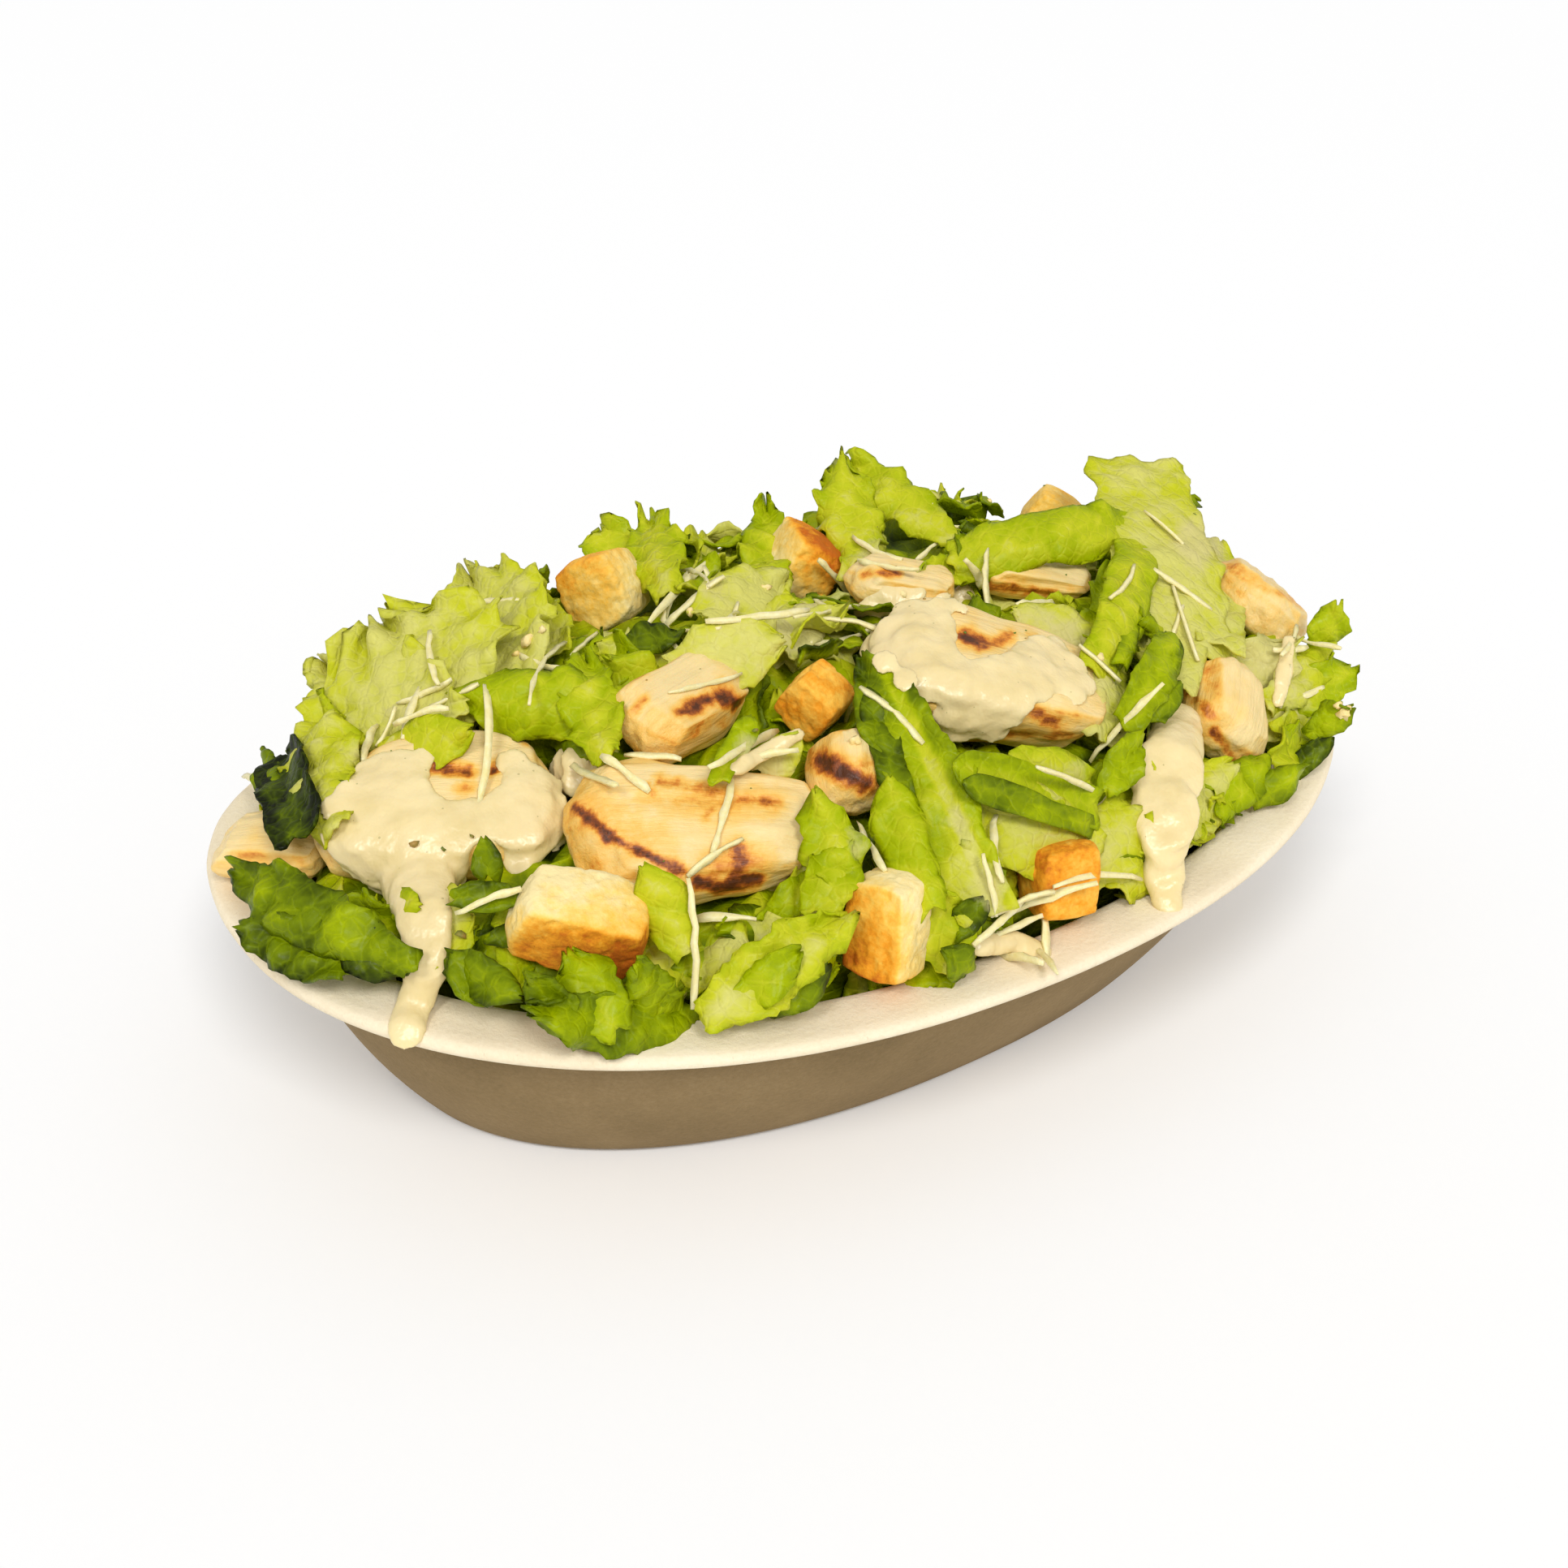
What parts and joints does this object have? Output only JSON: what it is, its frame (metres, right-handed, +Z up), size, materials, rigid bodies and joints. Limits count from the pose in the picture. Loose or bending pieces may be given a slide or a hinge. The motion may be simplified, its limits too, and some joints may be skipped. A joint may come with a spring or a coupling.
{
  "type": "chicken caesar salad",
  "caption": "Romaine salad with grilled chicken, croutons, shredded hard cheese and creamy dressing, heaped in an oval moulded-fibre takeaway bowl.",
  "frame": {"origin": "middle of the bowl's flat base, on the surface it stands on", "axes": "+Z up, +X along the bowl's long side, +Y along its short side"},
  "size_m": [0.23, 0.16, 0.0822],
  "materials": {
    "fibre": "unbleached moulded plant fibre, matt, faintly speckled",
    "lettuce": "fresh romaine leaves, pale at the rib and mid green at the tips, thinly dressed",
    "bread": "toasted bread cubes, golden brown faces, paler open crumb",
    "meat": "grilled chicken breast, pale and moist with brown char marks"
  },
  "bodies": {
    "root": {"bowl": "fibre", "salad_heap": "lettuce", "crouton_1": "bread", "crouton_2": "bread", "crouton_3": "bread", "crouton_4": "bread", "crouton_5": "bread", "crouton_6": "bread", "crouton_7": "bread", "crouton_8": "bread", "crouton_9": "bread", "crouton_10": "bread", "chicken_1": "meat", "chicken_2": "meat", "chicken_3": "meat", "chicken_4": "meat", "chicken_5": "meat", "chicken_6": "meat", "chicken_7": "meat", "chicken_8": "meat", "chicken_9": "meat", "chicken_10": "meat", "chicken_11": "meat", "chicken_12": "meat"}
  },
  "joints": []
}
